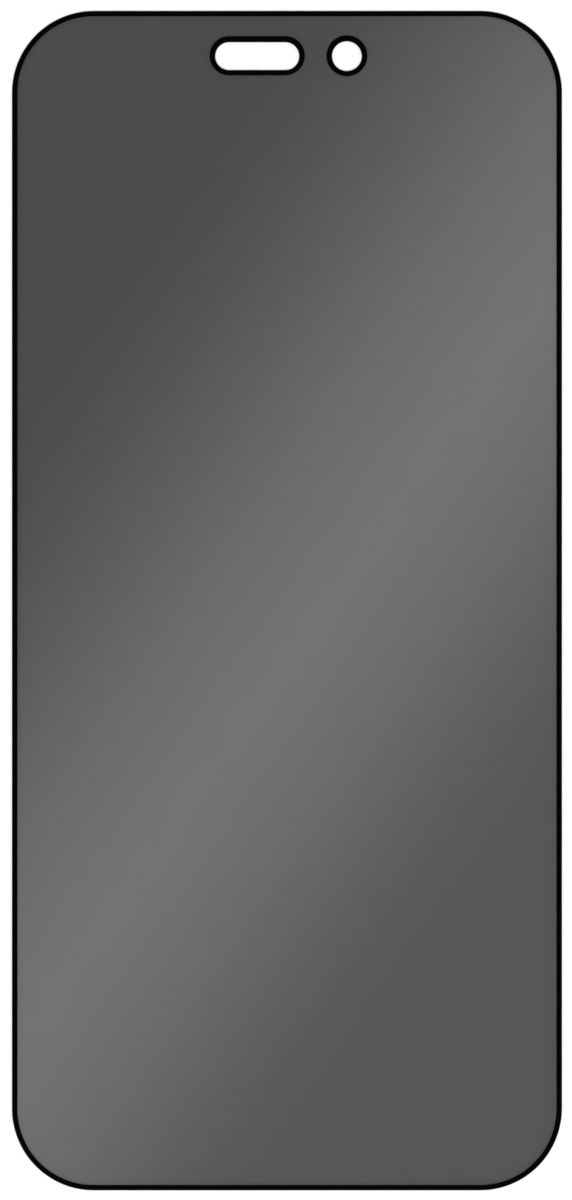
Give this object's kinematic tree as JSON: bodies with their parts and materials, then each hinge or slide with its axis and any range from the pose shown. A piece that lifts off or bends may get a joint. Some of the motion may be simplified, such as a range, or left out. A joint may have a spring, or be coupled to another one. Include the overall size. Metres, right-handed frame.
{
  "type": "phone privacy screen protector",
  "caption": "Flat smoked sheet with rounded corners, a pill-shaped window, a round camera window and a black inked edge. It covers a phone display and narrows its viewing angle.",
  "frame": {"origin": "middle of the adhesive back, on the surface that the sheet lies on", "axes": "+X to the right of someone looking at the front, +Y to the end with the windows, +Z out of the front face"},
  "size_m": [0.0726, 0.1556, 0.0004],
  "materials": {
    "smoked_glass": "smooth smoked glass that shows what lies under it darkened, with a soft sheen",
    "black_ink": "matt black ink"
  },
  "bodies": {
    "root": {"privacy_sheet": "smoked_glass", "edge_ink": "black_ink"}
  },
  "joints": []
}
